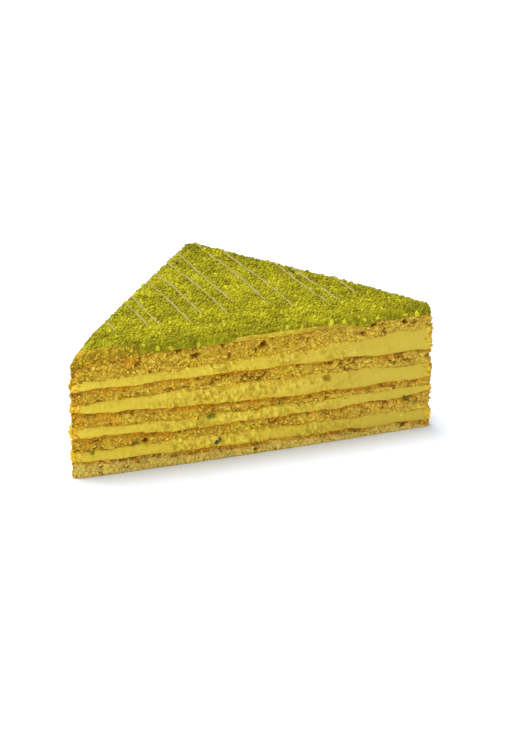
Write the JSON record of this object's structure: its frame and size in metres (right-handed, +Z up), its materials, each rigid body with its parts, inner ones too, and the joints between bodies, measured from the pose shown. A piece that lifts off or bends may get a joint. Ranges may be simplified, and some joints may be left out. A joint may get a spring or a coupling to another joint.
{
  "type": "honey cake slice",
  "caption": "Triangular slice of layered honey cake: thin crumbly biscuits with cream between them, under a crust of ground pistachio with fine drizzle lines.",
  "frame": {"origin": "under the middle of the slice's box, on the surface that it rests on", "axes": "+X along the cut face that shows, from the sharp tip to the right-hand corner; +Y towards the back corner; +Z up"},
  "size_m": [0.1206, 0.0958, 0.0414],
  "materials": {
    "biscuit": "matte, open golden crumb with a thin browned crust",
    "cream": "smooth satin butter-yellow cream with fine knife marks",
    "pistachio": "granular yellow-green ground nuts"
  },
  "bodies": {
    "root": {"biscuit_5": "biscuit", "cream_4": "cream", "biscuit_4": "biscuit", "cream_3": "cream", "biscuit_3": "biscuit", "cream_2": "cream", "biscuit_2": "biscuit", "cream_1": "cream", "biscuit_1": "biscuit", "top_cream": "cream", "topping": "pistachio"}
  },
  "joints": []
}
